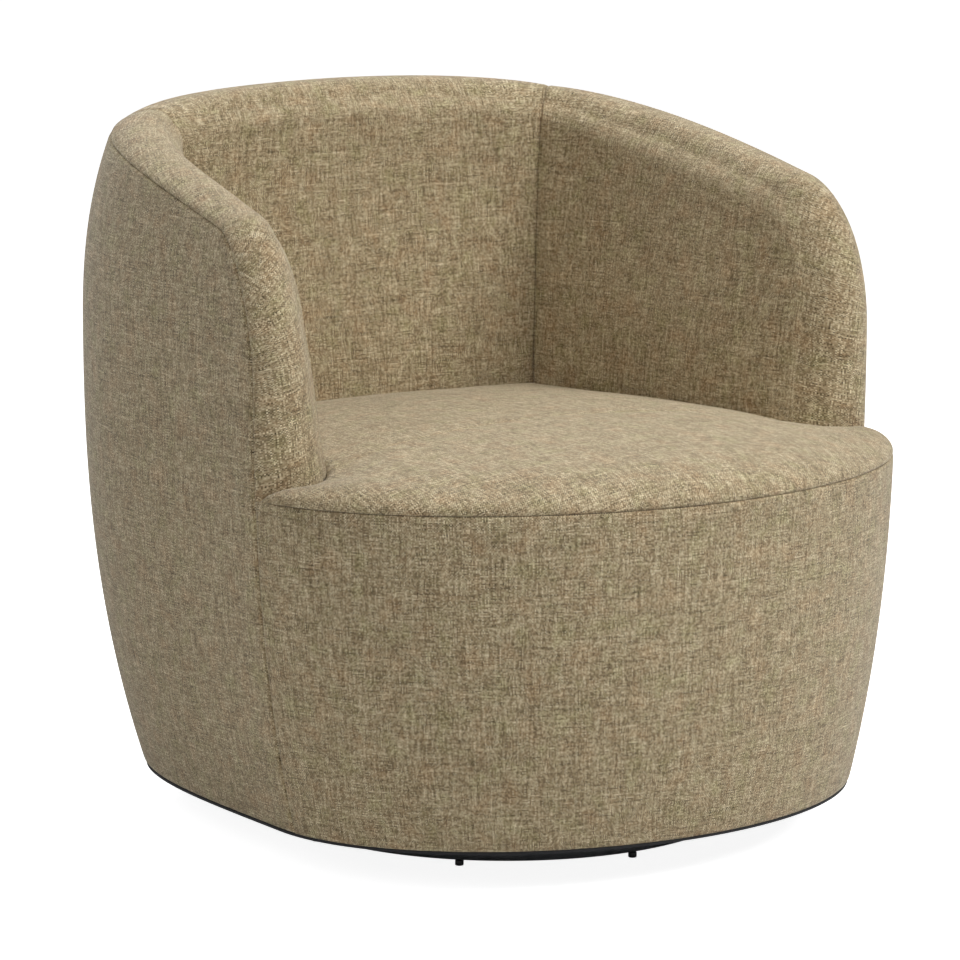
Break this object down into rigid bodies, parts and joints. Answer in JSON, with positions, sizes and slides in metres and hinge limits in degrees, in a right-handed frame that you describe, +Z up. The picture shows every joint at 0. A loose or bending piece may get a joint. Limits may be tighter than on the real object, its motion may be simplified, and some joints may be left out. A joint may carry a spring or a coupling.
{
  "type": "swivel barrel chair",
  "caption": "Low round-backed upholstered tub chair whose arms and back are one rolled wrap around a crowned seat, turning freely on a hidden ball swivel over a tubular steel ring base.",
  "frame": {"origin": "on the floor, at the middle of the chair's outline from above", "axes": "+Z up, the chair faces -Y, +X is to the right of someone who looks along +Y at its front"},
  "size_m": [0.78, 0.8168, 0.767],
  "materials": {
    "fabric": "slub linen weave, matt",
    "seat_fabric": "slub linen weave, matt",
    "backing": "raw hardboard",
    "plywood": "raw plywood",
    "cambric": "thin matt cloth",
    "black_steel": "satin black powder coat",
    "bright_steel": "zinc plated",
    "nylon": "moulded, matt"
  },
  "bodies": {
    "base": {"base_ring": "black_steel", "cross_bar_1": "black_steel", "cross_bar_2": "black_steel", "lower_swivel_plate": "black_steel", "swivel_pin": "bright_steel", "lower_bolt_1": "bright_steel", "lower_bolt_2": "bright_steel", "lower_bolt_3": "bright_steel", "lower_bolt_4": "bright_steel", "glide_1": "nylon", "glide_2": "nylon", "glide_3": "nylon", "glide_4": "nylon", "glide_5": "nylon", "glide_6": "nylon", "glide_7": "nylon", "glide_8": "nylon"},
    "ball_cage": {"ball_cage": "bright_steel"},
    "seat": {"inside_arm_right": "fabric", "inside_arm_left": "fabric", "inside_back": "fabric", "outside_panel": "fabric", "front_panel": "fabric", "seat_cushion": "seat_fabric", "shell_liner": "backing", "front_board": "backing", "bottom_frame": "plywood", "seat_frame": "plywood", "front_post_right": "plywood", "front_post_left": "plywood", "side_post_right": "plywood", "side_post_left": "plywood", "back_post_right": "plywood", "back_post_left": "plywood", "arm_rail_right": "plywood", "arm_rail_left": "plywood", "back_rail": "plywood", "arm_post_right": "plywood", "arm_post_left": "plywood", "back_upright_right": "plywood", "back_upright_left": "plywood", "swivel_board": "plywood", "dust_cover": "cambric", "seat_spring_1": "bright_steel", "seat_spring_2": "bright_steel", "seat_spring_3": "bright_steel", "seat_spring_4": "bright_steel", "clip_front_1": "bright_steel", "clip_front_2": "bright_steel", "clip_front_3": "bright_steel", "clip_front_4": "bright_steel", "clip_back_1": "bright_steel", "clip_back_2": "bright_steel", "clip_back_3": "bright_steel", "clip_back_4": "bright_steel", "upper_swivel_plate": "black_steel", "upper_bolt_1": "bright_steel", "upper_bolt_2": "bright_steel", "upper_bolt_3": "bright_steel", "upper_bolt_4": "bright_steel"}
  },
  "joints": [
    {"name": "seat_swivel", "type": "hinge", "parent": "base", "child": "seat", "pos_m": [0, -0.017, 0.0434], "axis": [0, 0, 1], "continuous": true},
    {"name": "cage_turn", "type": "hinge", "parent": "base", "child": "ball_cage", "pos_m": [0, -0.017, 0.0434], "axis": [0, 0, 1], "continuous": true}
  ],
  "couplings": [
    {"joint": "cage_turn", "follows": "seat_swivel", "ratio": 0.5}
  ]
}
